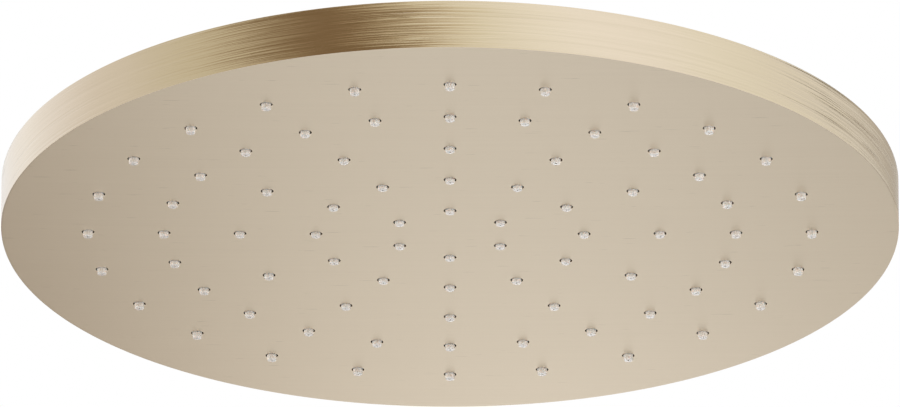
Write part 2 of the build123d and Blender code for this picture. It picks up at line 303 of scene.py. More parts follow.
peg_outline = [(0, root_overlap), (nozzle_root, root_overlap), (nozzle_root, 0)]
peg_outline += arc((nozzle_tip - tip_round, tip_drop + tip_round), tip_round, 0, -90, steps=4)
peg_outline += [(0, tip_drop)]
pegs = copies(turned("peg", peg_outline, steps=28), root_places)

bore_radius = 0.5 * MM
mouth_radius = 0.28 * MM
bore_end = tip_drop + 1.2 * MM
mouth_start = tip_drop + 0.4 * MM
mouth_end = tip_drop - 0.3 * MM
bore_outline = [(0, cut_height), (bore_radius, cut_height), (bore_radius, bore_end)]
bore_outline += [(mouth_radius, mouth_start), (mouth_radius, mouth_end), (0, mouth_end)]
bores = copies(turned("bore", bore_outline, steps=12), root_places)

mat_radius = round(mat_high.x, 4)
mat_edge = 0.3 * MM
sheet_outline = [(0, floor_z), (mat_radius - mat_edge, floor_z), (mat_radius, floor_z + mat_edge)]
sheet_outline += [(mat_radius, mat_high.z - mat_edge), (mat_radius - mat_edge, mat_high.z)]
sheet_outline += [(0, mat_high.z)]
mat = turned("silicone_mat", sheet_outline, steps=160)
combine(mat, pegs, "UNION")
combine(mat, bores, "DIFFERENCE")
dress(mat, "nozzle_mat", "shower_head")

# %% [markdown]
# ## The back cover
# The back is closed by a flat round plate that sits just below the rim's upper edge, held by eight
# countersunk screws. The cover is a turned ring, and the countersinks are cut with one turned cone,
# copied to the eight places.

# %% Back cover
cover_low, cover_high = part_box("top_cover")
hub_radius = 16.0 * MM
cover_radius = inner_radius - 0.2 * MM
screw_circle = inner_radius - 7.0 * MM
screw_hole = 1.6 * MM
sink_radius = screw_hole + 1.4 * MM
sink_depth = 4 * MM
sink_rise = 0.5 * MM
screw_count = 8
screw_places = []
for number in range(screw_count):
    angle = math.radians(22.5) + math.tau * number / screw_count
    x = screw_circle * math.cos(angle)
    y = screw_circle * math.sin(angle)
    screw_places.append((x, y, cover_high.z))

cover = ring(
    "back_cover",
    inner=hub_radius + 0.3 * MM,
    outer=cover_radius,
    low=cover_low.z,
    high=cover_high.z,
    edge=0.2 * MM,
    steps=256,
)
sink_outline = [(0, -sink_depth), (screw_hole, -sink_depth), (screw_hole, screw_hole - sink_radius)]
sink_outline += [(sink_radius + sink_rise, sink_rise), (0, sink_rise)]
combine(cover, copies(turned("sink", sink_outline, steps=40), screw_places), "DIFFERENCE")
dress(cover, "top_cover", "shower_head")

# %% [markdown]
# ## The cover screws
# A countersunk screw is a shank with a cone for a head, so it is turned in one go. Its hexagonal
# socket is cut with a six-sided bar. A helper makes the bar, because the nuts start from the same
# bar. Each copy is turned by another amount, as real screws stop wherever they are tight.

# %% Cover screws
screw_shank = 1.5 * MM
screw_length = 8 * MM
screw_point = 0.3 * MM
head_height = 1.4 * MM
screw_head = screw_shank + head_height
head_edge = [(0.12 * MM, 0.12 * MM), (0.2 * MM, 0.02 * MM), (0.45 * MM, 0)]
screw_outline = [(0, -screw_length), (screw_shank - screw_point, -screw_length)]
screw_outline += [(screw_shank, screw_point - screw_length), (screw_shank, -head_height)]
screw_outline += [(screw_head - inset, -drop) for inset, drop in head_edge]
screw_outline += [(0, 0)]
screw = turned("cover_screw", screw_outline, steps=40)


def hexagon(name, across_flats, low, high):
    """A hexagonal bar with a corner on the X axis."""
    bpy.ops.object.select_all(action="DESELECT")
    bpy.ops.mesh.primitive_cylinder_add(
        vertices=6,
        radius=across_flats / 2 / math.cos(math.radians(30)),
        depth=high - low,
        location=(0, 0, (low + high) / 2),
        rotation=(0, 0, math.radians(30)),
    )
    bar = bpy.context.object
    bar.name = bar.data.name = name
    bpy.ops.object.transform_apply(location=True, rotation=True, scale=True)
    return bar


socket = hexagon("socket", across_flats=2.0 * MM, low=-1.1 * MM, high=1 * MM)
combine(screw, socket, "DIFFERENCE")
soften(screw, width=0.06 * MM, segments=1)
turn_step = 37
socket_turn = 60
screw_turns = [math.radians(turn_step * number % socket_turn) for number in range(screw_count)]
screws = copies(screw, screw_places, screw_turns)
screws.name = screws.data.name = "cover_screw_set"
dress(screws, "cover_screws", "shower_head")

# %% [markdown]
# ## Washer and nuts
# A hexagonal nut starts as a six-sided bar. A turned envelope takes off its corners, as a lathe
# does, and leaves the curved line on each flat that everyone knows from real nuts. The bore is cut
# with a turned tool, and then the edges are softened.


# %% Nut helper
nut_chamfer = 0.9 * MM
nut_inset = 0.25 * MM
nut_edge = 0.15 * MM
corner_spare = 0.01 * MM
nut_steps = 96


def nut(name, across_flats, low, high, bore_outline):
    """A hexagonal nut with its corners turned off at both ends, a turned bore and soft edges."""
    flat = across_flats / 2
    corner = flat / math.cos(math.radians(30)) + corner_spare
    bar = hexagon(name, across_flats, low, high)
    envelope = [(0, low), (flat - nut_inset, low), (corner, low + nut_chamfer)]
    envelope += [(corner, high - nut_chamfer), (flat - nut_inset, high), (0, high)]
    combine(bar, turned("envelope", envelope, nut_steps), "INTERSECT")
    combine(bar, turned("bore_tool", bore_outline, nut_steps), "DIFFERENCE")
    soften(bar, nut_edge)
    return bar


# %% Washer and lock nut
washer_low, washer_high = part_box("lock_washer")
screwed_bore = hub_radius + 0.1 * MM
lock_washer = ring(
    "plain_washer",
    inner=screwed_bore,
    outer=round(washer_high.x, 4),
    low=washer_low.z,
    high=washer_high.z,
    edge=0.15 * MM,
    steps=128,
)
dress(lock_washer, "lock_washer", "shower_head")

lock_low, lock_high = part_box("hub_lock_nut")
overshoot = 1.0 * MM
bore_break = 0.5 * MM
bore_mouth = screwed_bore + bore_break + overshoot
lock_bore = [(0, lock_low.z - overshoot), (bore_mouth, lock_low.z - overshoot)]
lock_bore += [(screwed_bore, lock_low.z + bore_break), (screwed_bore, lock_high.z - bore_break)]
lock_bore += [(bore_mouth, lock_high.z + overshoot), (0, lock_high.z + overshoot)]
lock_nut = nut("lock_nut", round(lock_high.y - lock_low.y, 4), lock_low.z, lock_high.z, lock_bore)
dress(lock_nut, "hub_lock_nut", "shower_head")

# %% [markdown]
# ## The collar over the ball
# The collar nut screws on the hub and keeps the ball in its socket. It is hexagonal below, for a
# wrench, and ends in a round crown. The crown's half section is an arc that leaves the skirt
# upright, so skirt and crown meet without a kink in the middle of each flat.

# %% Collar nut
tilt = next(joint for joint in frame["joints"] if joint["name"] == "head_tilt")
ball_z = tilt["pos_m"][2]
swing = math.radians(tilt["range_deg"][1])
friction_low, friction_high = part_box("friction_ring")
collar_low, collar_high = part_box("collar_nut")
collar_top = collar_high.z
flat_radius = screwed_bore + 3.0 * MM
corner_radius = flat_radius / math.cos(math.radians(30)) + corner_spare
neck_radius = 6.5 * MM
neck_play = 0.4 * MM
lip_radius = neck_radius / math.cos(swing) + (collar_top - ball_z) * math.tan(swing) + neck_play
crown_top = lip_radius + 3.3 * MM
crown_foot = flat_radius - 0.02 * MM
crown_z = collar_top - 5.7 * MM
crown_inset = crown_foot - crown_top
crown_arc = ((collar_top - crown_z) ** 2 + crown_inset**2) / (2 * crown_inset)
crown_turn = math.degrees(math.asin((collar_top - crown_z) / crown_arc))

collar_outline = [(0, collar_low.z), (flat_radius - nut_inset, collar_low.z)]
collar_outline += [(corner_radius, collar_low.z + nut_chamfer)]
collar_outline += [(corner_radius, crown_z - nut_chamfer)]
collar_outline += arc((crown_foot - crown_arc, crown_z), crown_arc, 0, crown_turn, steps=20)
collar_outline += [(0, collar_top)]

ring_bore = friction_high.x + 0.2 * MM
lip_z = friction_high.z + 0.2 * MM
thread_end = friction_low.z + 0.3 * MM
mouth_break = 0.3 * MM
mouth_z = collar_top + mouth_break
socket_bore = [(0, collar_low.z - overshoot), (bore_mouth, collar_low.z - overshoot)]
socket_bore += [(screwed_bore, collar_low.z + bore_break), (screwed_bore, thread_end)]
socket_bore += [(ring_bore, thread_end), (ring_bore, lip_z), (lip_radius, lip_z)]
socket_bore += [(lip_radius, collar_top - mouth_break), (lip_radius + 2 * mouth_break, mouth_z)]
socket_bore += [(0, mouth_z)]

collar = hexagon("swivel_collar", 2 * flat_radius, collar_low.z, collar_top)
combine(collar, turned("collar_envelope", collar_outline, steps=128), "INTERSECT")
combine(collar, turned("collar_bore", socket_bore, steps=128), "DIFFERENCE")
soften(collar, nut_edge)
dress(collar, "collar_nut", "shower_head")

# %% [markdown]
# ## The ball stem
# The stem is the still middle of the swivel: the head tilts on its ball, and the union nut turns
# on its neck. Its outline is spun in one go, with an arc for the ball and small broken edges at
# each shoulder.

# %% Ball stem
stem_low, stem_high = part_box("ball_stem")
stem_top = stem_high.z
ball_radius = round(stem_high.x, 5)
stem_radius = 7.5 * MM
groove_radius = 6.7 * MM
pocket_radius = 5.6 * MM
waterway = 4.5 * MM
regulator_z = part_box("regulator_body")[0].z
snap_low, snap_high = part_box("nut_snap_ring")
nut_low, nut_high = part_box("union_nut")
shoulder_z = nut_low.z - 1.5 * MM
flat_z = stem_low.z
edge = 0.25 * MM
groove_play = 0.1 * MM
groove_top = snap_high.z + groove_play
groove_low = snap_low.z - groove_play

stem_outline = [(pocket_radius + edge, stem_top), (stem_radius - edge, stem_top)]
stem_outline += [(stem_radius, stem_top - edge), (stem_radius, groove_top)]
stem_outline += [(groove_radius, groove_top), (groove_radius, groove_low)]
stem_outline += [(stem_radius, groove_low), (stem_radius, shoulder_z + edge)]
stem_outline += [(stem_radius - edge, shoulder_z), (neck_radius + edge, shoulder_z)]
stem_outline += [(neck_radius, shoulder_z - edge)]
stem_outline += arc(
    (0, ball_z),
    ball_radius,
    start=math.degrees(math.acos(neck_radius / ball_radius)),
    end=math.degrees(math.asin((flat_z - ball_z) / ball_radius)),
    steps=28,
)
stem_outline += [(waterway + edge, flat_z), (waterway, flat_z + edge), (waterway, regulator_z)]
stem_outline += [(pocket_radius, regulator_z), (pocket_radius, stem_top - edge), stem_outline[0]]
stem = turned("swivel_stem_ball", stem_outline, steps=96)
dress(stem, "ball_stem", "swivel_stem")

# %% [markdown]
# ## The union nut and its thread
# This nut screws on the shower arm. Its thread is a rounded ridge of 1.814 mm pitch, 14 turns to
# the inch. A Screw modifier winds one small section of the ridge round the axis, and the ridge is
# joined to the bore by a Boolean step, so that light falls into real grooves.

# %% Union nut
thread_pitch = 1.814 * MM
crest_radius = 9.3155 * MM
root_radius = crest_radius + 1.162 * MM
relief_radius = root_radius + 0.2 * MM
stem_hole = stem_radius + 0.1 * MM
relief_z = snap_low.z - 0.2 * MM
relief_end = 0.1 * MM
nut_top = nut_high.z
hole_break = 0.4 * MM
hole_mouth = stem_hole + hole_break + overshoot
inlet_break = 0.6 * MM
inlet_rise = 0.8 * MM
inlet_mouth = root_radius + inlet_break + inlet_rise

nut_bore = [(0, nut_low.z - overshoot), (hole_mouth, nut_low.z - overshoot)]
nut_bore += [(stem_hole, nut_low.z + hole_break), (stem_hole, relief_z), (relief_radius, relief_z)]
nut_bore += [(relief_radius, 0), (root_radius, relief_end), (root_radius, nut_top - inlet_break)]
nut_bore += [(inlet_mouth, nut_top + inlet_rise), (0, nut_top + inlet_rise)]
union_nut = nut("union_nut_body", round(nut_high.y - nut_low.y, 5), nut_low.z, nut_top, nut_bore)
print("union nut", len(union_nut.data.polygons), "faces before the thread")

# %% Thread ridge
ridge_z = 0.95 * MM
ridge_foot = root_radius + 0.1 * MM
ridge_shoulder = crest_radius + 0.15 * MM
half_widths = [(ridge_foot, 0.8 * MM), (ridge_shoulder, 0.2 * MM), (crest_radius, 0.08 * MM)]
ridge_section = [(radius, ridge_z - half) for radius, half in half_widths]
ridge_section += [(radius, ridge_z + half) for radius, half in reversed(half_widths)]
ridge = drawn("thread_ridge", ridge_section + ridge_section[:1])
bpy.ops.mesh.remove_doubles(threshold=WELD)
bpy.ops.object.mode_set(mode="OBJECT")
bpy.ops.object.modifier_add(type="SCREW")
winding = ridge.modifiers[-1]
winding.axis = "Z"
winding.screw_offset = thread_pitch
winding.iterations = 5
winding.steps = winding.render_steps = 64
bpy.ops.object.modifier_apply(modifier=winding.name)
bpy.ops.object.mode_set(mode="EDIT")
bpy.ops.mesh.select_all(action="SELECT")
bpy.ops.mesh.fill_holes(sides=8)
bpy.ops.mesh.select_all(action="SELECT")
bpy.ops.mesh.normals_make_consistent(inside=False)
bpy.ops.object.mode_set(mode="OBJECT")
combine(union_nut, ridge, "UNION")
dress(union_nut, "union_nut", "union_nut")

# %% [markdown]
# ## The inlet washer
# A flat ring of black rubber lies on the stem's end, where the arm presses on it. Its moulded
# edges are rounder than metal edges.

# %% Inlet washer
gasket_low, gasket_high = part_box("inlet_washer")
gasket_bore = 5.25 * MM
gasket = ring(
    "inlet_gasket",
    inner=gasket_bore,
    outer=round(gasket_high.x, 5),
    low=gasket_low.z,
    high=0,
    edge=0.3 * MM,
    steps=96,
)
dress(gasket, "inlet_washer", "swivel_stem")

# %% [markdown]
# ## Finishes
# Brushed metal is a mirror covered with fine parallel scratches. Three things show it: streaks of
# slightly different brightness, a highlight stretched across the scratches, and a small change of
# gloss from streak to streak. A picture of scratches would repeat and blur. A noise that is scaled
# up across the brush and left long along it stays sharp at any distance, and one noise can drive
# colour, roughness and bump together. These helpers add the nodes and join them.


# %% Node helpers: patterns
def first_of(tree, kind):
    """The first node of a kind."""
    return next(node for node in tree.nodes if node.type == kind)


def new_finish(name):
    """A material, its node tree and its shader."""
    finish = bpy.data.materials.new(name)
    finish.use_nodes = True
    tree = finish.node_tree
    return finish, tree, first_of(tree, "BSDF_PRINCIPLED")


def place_on(tree):
    """Where on its piece a point is, in Object coordinates."""
    return tree.nodes.new("ShaderNodeTexCoord").outputs["Object"]


def pattern(tree, scale, detail, roughness):
    """Noise on Object coordinates, stretched by the scale along each axis."""
    stretch = tree.nodes.new("ShaderNodeMapping")
    noise = tree.nodes.new("ShaderNodeTexNoise")
    stretch.inputs["Scale"].default_value = scale
    noise.inputs["Scale"].default_value = 1.0
    noise.inputs["Detail"].default_value = detail
    noise.inputs["Roughness"].default_value = roughness
    tree.links.new(place_on(tree), stretch.inputs["Vector"])
    tree.links.new(stretch.outputs["Vector"], noise.inputs["Vector"])
    return noise.outputs["Fac"]


def blend_of(tree, first, second, share):
    """A mix of two patterns."""
    mix = tree.nodes.new("ShaderNodeMix")
    mix.inputs["Factor"].default_value = share
    tree.links.new(first, mix.inputs["A"])
    tree.links.new(second, mix.inputs["B"])
    return mix.outputs["Result"]


def reckon(tree, value, *steps):
    """Sends a value through Math nodes, each an operation with a number or another value."""
    for operation, other in steps:
        node = tree.nodes.new("ShaderNodeMath")
        node.operation = operation
        tree.links.new(value, node.inputs[0])
        if isinstance(other, (int, float)):
            node.inputs[1].default_value = other
        else:
            tree.links.new(other, node.inputs[1])
        value = node.outputs[0]
    return value


def span_of(tree, value, source, target):
    """Maps a value from one span to another and holds it at the ends."""
    span = tree.nodes.new("ShaderNodeMapRange")
    for name, number in zip(("From Min", "From Max", "To Min", "To Max"), (*source, *target)):
        span.inputs[name].default_value = number
    tree.links.new(value, span.inputs["Value"])
    return span.outputs["Result"]


def tones_along(tree, value, tones):
    """Picks a colour along a value, from a list of (place, colour)."""
    ramp = tree.nodes.new("ShaderNodeValToRGB")
    stops = ramp.color_ramp.elements
    stops.remove(stops[-1])
    stops[0].position = tones[0][0]
    stops[0].color = (*tones[0][1], 1)
    for place, colour in tones[1:]:
        stops.new(place).color = (*colour, 1)
    tree.links.new(value, ramp.inputs["Fac"])
    return ramp.outputs["Color"]


# %% Node helpers: the shader's colour, gloss and relief
NOISE_SPAN = (0.25, 0.75)


def colour_by(tree, shader, height, tones):
    """Colours the surface by the pattern."""
    tree.links.new(tones_along(tree, height, tones), shader.inputs["Base Color"])


def gloss_by(tree, shader, height, smooth, rough):
    """Roughness that follows the pattern."""
    tree.links.new(span_of(tree, height, NOISE_SPAN, (smooth, rough)), shader.inputs["Roughness"])


def relief_by(tree, shader, height, strength, depth):
    """A bump that follows the pattern."""
    bump = tree.nodes.new("ShaderNodeBump")
    bump.inputs["Strength"].default_value = strength
    bump.inputs["Distance"].default_value = depth
    tree.links.new(height, bump.inputs["Height"])
    tree.links.new(bump.outputs["Normal"], shader.inputs["Normal"])


def use(piece, *finishes):
    """Gives a piece its finishes."""
    piece.data.materials.clear()
    for finish in finishes:
        piece.data.materials.append(finish)
    print(piece.name, "finish", [finish.name for finish in finishes])


# %% Node helpers: brushed metal
MARK_DROP = 0.4


def brush_along(tree, shader, direction):
    """Lays the stretched highlight along the UV map, or round the axis."""
    tangent = tree.nodes.new("ShaderNodeTangent")
    tangent.direction_type = direction
    tangent.axis = "Z"
    tree.links.new(tangent.outputs["Tangent"], shader.inputs["Tangent"])


def brushed(name, tones, strokes, bands, share, gloss, stretch, depth, along=None, marks=None):
    """Brushed metal: fine strokes over broad bands, with sparse marks if they are given.

    Strokes and bands are (scale, detail, roughness), mixed by the share. The highlight is stretched
    along the UV map or round the axis. Marks are (scale, low, high): where that noise rises from
    low to high, the surface is scored.
    """
    finish, tree, shader = new_finish(name)
    fine = pattern(tree, *strokes)
    height = blend_of(tree, fine, pattern(tree, *bands), share)
    if marks:
        scale, low, high = marks
        noise = pattern(tree, scale, detail=2.0, roughness=0.5)
        scored = span_of(tree, noise, (low, high), (0.0, MARK_DROP))
        height = reckon(tree, height, ("SUBTRACT", scored))
    shader.inputs["Metallic"].default_value = 1.0
    shader.inputs["Anisotropic"].default_value = stretch
    shader.inputs["Anisotropic Rotation"].default_value = 0.25
    colour_by(tree, shader, height, tones)
    gloss_by(tree, shader, fine, *gloss)
    relief_by(tree, shader, height, strength=1.0, depth=depth)
    if along:
        brush_along(tree, shader, along)
    return finish


# %% [markdown]
# ### Champagne metal
# The face is brushed in straight lines from side to side, with a stray mark here and there, and
# the rim is brushed round and round, with some deeper scores. On Object coordinates both come from
# one kind of noise: on the face it is stretched along X, and on the rim it is squeezed along Z
# alone, which makes rings. The rim's strokes are also real grooves in the bump, because each groove
# tips the metal up or down and so mirrors another part of the room. The highlight's direction comes
# from a UV map laid flat on the face, and from the axis on the rim. The cut walls of the holes are
# unpolished, and their dark colour is painted shade that darkens the gaps round the nozzles.

# %% Face, rim and hole walls
face_brush = brushed(
    "face_brush",
    tones=[
        (0.1, (0.655, 0.567, 0.445)),
        (0.3, (0.782, 0.682, 0.542)),
        (0.7, (0.808, 0.708, 0.566)),
    ],
    strokes=((45, 2600, 45), 4.0, 0.65),
    bands=((12, 900, 12), 2.0, 0.5),
    share=0.4,
    gloss=(0.38, 0.42),
    stretch=0.9,
    depth=0.01 * MM,
    along="UV_MAP",
    marks=((110, 1400, 110), 0.68, 0.75),
)
rim_brush = brushed(
    "rim_brush",
    tones=[(0.3, (0.78, 0.67, 0.517)), (0.7, (0.82, 0.707, 0.553))],
    strokes=((34, 34, 2300), 2.0, 0.5),
    bands=((10, 10, 1500), 1.0, 0.5),
    share=0.5,
    gloss=(0.13, 0.2),
    stretch=0.2,
    depth=0.11 * MM,
    along="RADIAL",
    marks=((12, 12, 1100), 0.58, 0.72),
)
# Painted shade: the hole walls are coloured dark so that the gaps round the nozzles look shaded.
painted_shade_hole_wall = brushed(
    "painted_shade_hole_wall",
    tones=[(0.3, (0.255, 0.22, 0.17)), (0.7, (0.36, 0.315, 0.245))],
    strokes=((900, 900, 900), 4.0, 0.65),
    bands=((300, 300, 300), 2.0, 0.5),
    share=0.4,
    gloss=(0.45, 0.6),
    stretch=0.0,
    depth=0.004 * MM,
)
print("finishes", face_brush.name, rim_brush.name, painted_shade_hole_wall.name)


# %% Finishes on the pan and the cover
def lay_flat(piece):
    """Unwraps a piece along its axes, for the direction of the brush."""
    only(piece)
    bpy.ops.object.mode_set(mode="EDIT")
    bpy.ops.mesh.select_all(action="SELECT")
    bpy.ops.uv.cube_project(cube_size=1.0)
    bpy.ops.object.mode_set(mode="OBJECT")


def assign(piece, slot, chosen):
    """Gives the chosen faces of a piece one of its finishes."""
    only(piece)
    bpy.ops.object.mode_set(mode="EDIT")
    bpy.ops.mesh.select_mode(type="FACE")
    bpy.ops.mesh.select_all(action="DESELECT")
    bpy.ops.object.mode_set(mode="OBJECT")
    for face in piece.data.polygons:
        face.select = chosen(face)
    bpy.ops.object.mode_set(mode="EDIT")
    piece.active_material_index = slot
    bpy.ops.object.material_slot_assign()
    bpy.ops.mesh.select_all(action="DESELECT")
    bpy.ops.mesh.select_mode(type="VERT")
    bpy.ops.object.mode_set(mode="OBJECT")
    covered = sum(face.material_index == slot for face in piece.data.polygons)
    print(piece.name, "slot", slot, "on", covered, "faces")


def on_spray_face(face):
    """True on the crowned face, which looks down."""
    return face.normal.z < -0.9


def in_a_hole(face):
    """True on the walls of the spray holes."""
    upright = abs(face.normal.z) < 0.5
    return upright and math.hypot(*face.center.xy) < inner_radius - MM


lay_flat(pan)
use(pan, rim_brush, face_brush, painted_shade_hole_wall)
assign(pan, slot=1, chosen=on_spray_face)
assign(pan, slot=2, chosen=in_a_hole)
lay_flat(cover)
use(cover, face_brush)

# %% [markdown]
# ### Satin nuts and stem
# The nuts, the collar and the stem have the same metal with a softer, turned satin. Lines that are
# too strong look like wood grain on the flats of a nut, so these are finer and fainter than the
# rim's.

# %% Satin nuts and stem
satin = brushed(
    "satin_turned",
    tones=[(0.3, (0.705, 0.595, 0.445)), (0.7, (0.755, 0.648, 0.494))],
    strokes=((70, 70, 5200), 3.0, 0.55),
    bands=((25, 25, 300), 2.0, 0.5),
    share=0.4,
    gloss=(0.25, 0.32),
    stretch=0.3,
    depth=0.004 * MM,
    along="RADIAL",
)
for piece in (lock_nut, collar, stem, union_nut):
    use(piece, satin)

# %% [markdown]
# ### Milky silicone
# Light goes into silicone and comes out a little further on, which subsurface scattering gives. A
# see-through shader would let the dark water chamber behind the mat show. The moulded skin is
# glossy, so a coat lies over the soft body.


# %% Silicone
def cloudy(name, dark, light, clouds, grain, gloss, depth, metallic=0.0):
    """A finish with soft clouds of colour and a fine grain."""
    finish, tree, shader = new_finish(name)
    shader.inputs["Metallic"].default_value = metallic
    cloud = pattern(tree, (clouds, clouds, clouds), detail=3.0, roughness=0.55)
    tooth = pattern(tree, (grain, grain, grain), detail=2.0, roughness=0.5)
    colour_by(tree, shader, cloud, [(0.3, dark), (0.7, light)])
    gloss_by(tree, shader, cloud, *gloss)
    relief_by(tree, shader, tooth, strength=0.3, depth=depth)
    return finish


fine_tooth = 0.01 * MM
silicone = cloudy(
    "milky_silicone",
    dark=(0.75, 0.695, 0.645),
    light=(0.81, 0.75, 0.695),
    clouds=900,
    grain=3500,
    gloss=(0.24, 0.36),
    depth=fine_tooth,
)
shader = first_of(silicone.node_tree, "BSDF_PRINCIPLED")
shader.inputs["IOR"].default_value = 1.41
shader.inputs["Coat Weight"].default_value = 1.0
shader.inputs["Coat IOR"].default_value = 1.9
shader.inputs["Coat Roughness"].default_value = 0.12
shader.inputs["Subsurface Weight"].default_value = 1.0
shader.inputs["Subsurface Radius"].default_value = (1.0, 0.9, 0.85)
shader.inputs["Subsurface Scale"].default_value = 1.3 * MM
use(mat, silicone)

# %% [markdown]
# ### Rubber, plastic, steel and brass
# Rubber is matt and black with a fine tooth. The plastics have the faint orange peel of a mould,
# the steel a fine grain, and the brass its warm colour with darker clouds. Most of these pieces
# are inside the head, and they keep the shape of the construction model.

# %% Rubber, plastic, steel and brass
rubber = cloudy(
    "black_rubber",
    dark=(0.014, 0.014, 0.014),
    light=(0.030, 0.030, 0.031),
    clouds=500,
    grain=6000,
    gloss=(0.55, 0.75),
    depth=0.03 * MM,
)
white_plastic = cloudy(
    "white_plastic",
    dark=(0.72, 0.72, 0.70),
    light=(0.80, 0.80, 0.78),
    clouds=250,
    grain=2500,
    gloss=(0.30, 0.42),
    depth=fine_tooth,
)
grey_plastic = cloudy(
    "grey_plastic",
    dark=(0.30, 0.31, 0.32),
    light=(0.37, 0.38, 0.39),
    clouds=200,
    grain=2500,
    gloss=(0.35, 0.48),
    depth=fine_tooth,
)
brass = cloudy(
    "plain_brass",
    dark=(0.62, 0.45, 0.20),
    light=(0.76, 0.58, 0.28),
    clouds=180,
    grain=4000,
    gloss=(0.25, 0.38),
    depth=fine_tooth,
    metallic=1.0,
)
steel = cloudy(
    "plain_steel",
    dark=(0.52, 0.52, 0.52),
    light=(0.66, 0.66, 0.65),
    clouds=400,
    grain=5000,
    gloss=(0.22, 0.34),
    depth=fine_tooth,
    metallic=1.0,
)

# %% Finishes on the inner pieces and small parts
use(gasket, rubber)
use(screws, steel)
use(lock_washer, steel)
for node, finish in {
    "nut_snap_ring": steel,
    "filter_screen": steel,
    "inlet_hub": brass,
    "cover_pillars": brass,
    "hub_seal": rubber,
    "chamber_seal": rubber,
    "regulator_ring": rubber,
    "chamber_plate": grey_plastic,
    "regulator_body": grey_plastic,
    "ball_seat": white_plastic,
    "friction_ring": white_plastic,
}.items():
    use(frame["nodes"][node], finish)

# %% [markdown]
# ## The floor
# A shower head hangs about two metres above the floor, so the floor lies that far down. It is plain
# and pale, with a faint cloudiness that keeps it from looking like paper.

# %% Floor
floor_level = -2.3
floor_size = 40
bpy.ops.object.select_all(action="DESELECT")
bpy.ops.mesh.primitive_plane_add(size=floor_size, location=(0, 0, floor_level))
floor = bpy.context.object
floor.name = floor.data.name = "pale_floor"
pale = cloudy(
    "pale_floor",
    dark=(0.80, 0.80, 0.80),
    light=(0.82, 0.82, 0.82),
    clouds=3,
    grain=60,
    gloss=(0.6, 0.7),
    depth=0.1 * MM,
)
use(floor, pale)

# %% [markdown]
# ## The white room
# The background should be white without throwing more light on the head. The Light Path node tells
# what kind of ray asks: rays from the camera, and rays that metal mirrors, see a white of strength
# one, and all other rays see the room at its plain level. The floor is told the same.


# %% Room light
def seen_directly(tree):
    """One for rays from the camera and for mirrored and refracted rays."""
    path = tree.nodes.new("ShaderNodeLightPath")
    return reckon(
        tree,
        path.outputs["Is Camera Ray"],
        ("MAXIMUM", path.outputs["Is Glossy Ray"]),
        ("MAXIMUM", path.outputs["Is Transmission Ray"]),
    )


def choose(tree, plain, bright, output):
    """Shows the bright shader to direct rays and the plain one to all others."""
    choice = tree.nodes.new("ShaderNodeMixShader")
    tree.links.new(seen_directly(tree), choice.inputs["Fac"])
    tree.links.new(plain.outputs[0], choice.inputs[1])
    tree.links.new(bright.outputs[0], choice.inputs[2])
    tree.links.new(choice.outputs["Shader"], output.inputs["Surface"])


def shine(light, strength):
    """Makes a light node white, with a strength."""
    light.inputs["Color"].default_value = (1, 1, 1, 1)
    light.inputs["Strength"].default_value = strength


room_strength = 0.33
white_strength = 1.0
room = bpy.data.worlds.new("white_room")
bpy.context.scene.world = room
room.use_nodes = True
tree = room.node_tree
around = first_of(tree, "BACKGROUND")
shine(around, room_strength)
backdrop = tree.nodes.new("ShaderNodeBackground")
shine(backdrop, white_strength)
choose(tree, around, backdrop, first_of(tree, "OUTPUT_WORLD"))

tree = pale.node_tree
white = tree.nodes.new("ShaderNodeEmission")
shine(white, white_strength)
choose(tree, first_of(tree, "BSDF_PRINCIPLED"), white, first_of(tree, "OUTPUT_MATERIAL"))
print("room strength", room_strength)

# %% [markdown]
# ## The light tent
# Metal shows its form only by what it mirrors. As in a product studio, a round tent stands about
# the head where the camera can't see it. Its wall goes from white to tan and brown and back, and
# the rim mirrors those tones one after the other. Upright bands of tone would hide the brush,
# because a groove that tips the metal up or down would still mirror the same tone. So the bands
# sway from side to side with height, most where the brush should show best.


# %% Stage helpers
def new_glow(name):
    """A stage finish that shines by itself, its node tree and its light node."""
    finish = bpy.data.materials.new(name)
    finish.use_nodes = True
    tree = finish.node_tree
    tree.nodes.clear()
    out = tree.nodes.new("ShaderNodeOutputMaterial")
    glow = tree.nodes.new("ShaderNodeEmission")
    tree.links.new(glow.outputs["Emission"], out.inputs["Surface"])
    return finish, tree, glow


def parts_of(tree, place):
    """The X, Y and Z of a place."""
    split = tree.nodes.new("ShaderNodeSeparateXYZ")
    tree.links.new(place, split.inputs["Vector"])
    return split.outputs


def off_camera(piece, finish):
    """Makes a stage piece that only mirrors show."""
    piece.visible_camera = False
    piece.visible_diffuse = False
    piece.visible_shadow = False
    piece.data.materials.clear()
    piece.data.materials.append(finish)


# %% Tent tones
tent_tones = {
    -180: (0.9, 0.9, 0.9),
    -155: (0.96, 0.97, 1.0),
    -138: (0.99, 1.01, 1.05),
    -120: (0.90, 0.90, 0.93),
    -102: (0.78, 0.755, 0.725),
    -84: (0.7, 0.67, 0.59),
    -70: (0.66, 0.63, 0.50),
    -60: (0.60, 0.545, 0.41),
    -50: (0.37, 0.295, 0.19),
    -43: (0.23, 0.16, 0.09),
    -32: (0.195, 0.13, 0.068),
    -21: (0.23, 0.16, 0.088),
    -14: (0.43, 0.335, 0.21),
    -7: (0.70, 0.64, 0.47),
    0: (0.80, 0.775, 0.63),
    10: (0.87, 0.86, 0.79),
    18: (0.94, 0.94, 0.88),
    29: (0.99, 0.995, 0.985),
    39: (1.0, 1.0, 1.0),
    53: (0.97, 0.97, 0.96),
    68: (0.92, 0.925, 0.87),
    84: (0.865, 0.865, 0.8),
    102: (0.81, 0.8, 0.78),
    120: (0.75, 0.756, 0.737),
    138: (0.55, 0.515, 0.455),
    155: (0.45, 0.405, 0.345),
    172: (0.65, 0.62, 0.59),
}
tent_sway = {
    -180: 3,
    -92: 3,
    -74: 10,
    -62: 12,
    3: 12,
    16: 5,
    86: 4,
    100: 18,
    118: 30,
    150: 30,
    166: 8,
}
widest_sway = max(tent_sway.values())
print("tent tones", len(tent_tones), "widest sway", widest_sway, "degrees")


